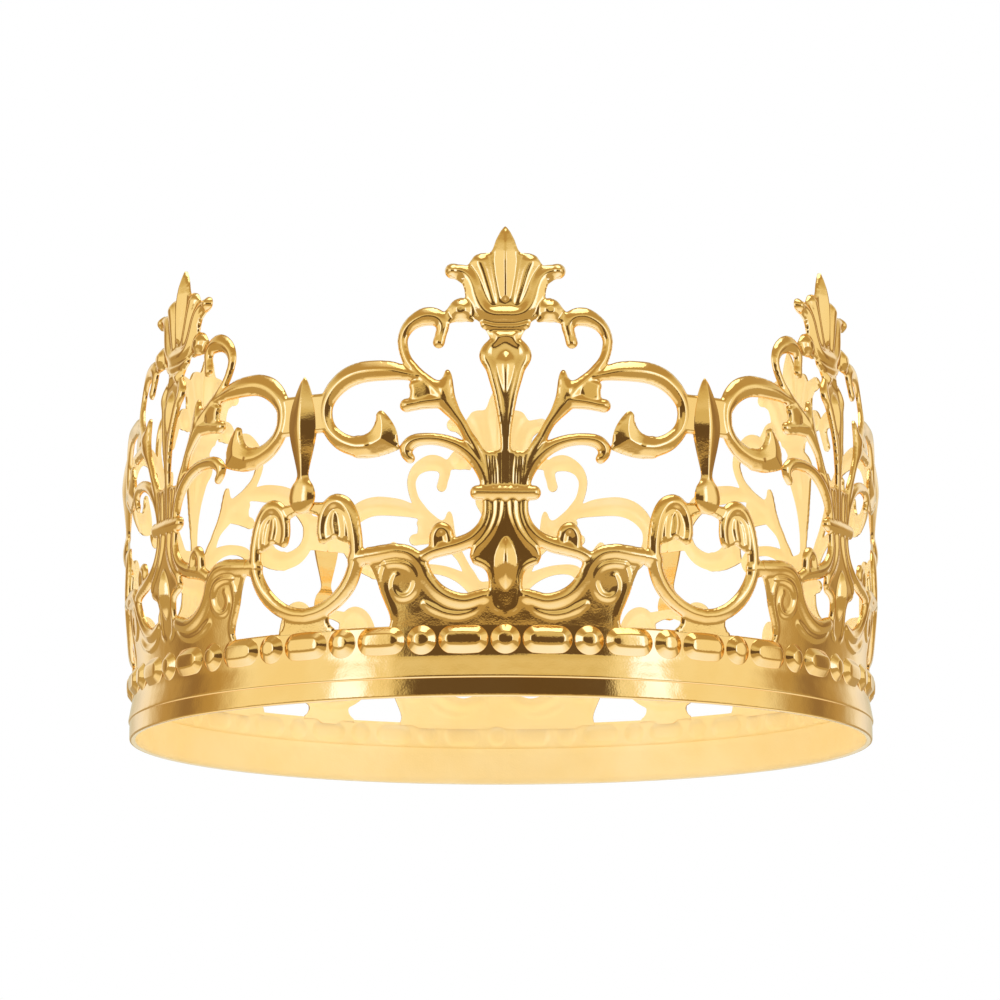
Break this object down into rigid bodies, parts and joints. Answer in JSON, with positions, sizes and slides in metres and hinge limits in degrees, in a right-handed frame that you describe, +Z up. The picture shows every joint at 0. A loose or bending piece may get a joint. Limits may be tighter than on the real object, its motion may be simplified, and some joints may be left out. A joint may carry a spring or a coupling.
{
  "type": "crown",
  "caption": "Round pierced gold crown with fleur finials, scrolls, heart-shaped rings, spindles, a beaded gallery strip and a plain head band.",
  "frame": {"origin": "centre of the head band's bottom rim", "axes": "+Z up along the crown's axis, -Y through the tip of the front panel, +X to the right as seen from the front"},
  "size_m": [0.155, 0.1536, 0.0905],
  "materials": {
    "pressed_gold": "polished gold plate on pressed brass sheet",
    "plain_gold": "polished gold plate on plain brass strip"
  },
  "bodies": {
    "root": {"head_band": "plain_gold", "bead_gallery": "pressed_gold", "fleur_panel_front": "pressed_gold", "fleur_panel_front_right": "pressed_gold", "fleur_panel_back_right": "pressed_gold", "fleur_panel_back": "pressed_gold", "fleur_panel_back_left": "pressed_gold", "fleur_panel_front_left": "pressed_gold", "ring_link_front_right": "pressed_gold", "ring_link_right": "pressed_gold", "ring_link_back_right": "pressed_gold", "ring_link_back_left": "pressed_gold", "ring_link_left": "pressed_gold", "ring_link_front_left": "pressed_gold", "spindle_front_right": "pressed_gold", "spindle_right": "pressed_gold", "spindle_back_right": "pressed_gold", "spindle_back_left": "pressed_gold", "spindle_left": "pressed_gold", "spindle_front_left": "pressed_gold"}
  },
  "joints": []
}
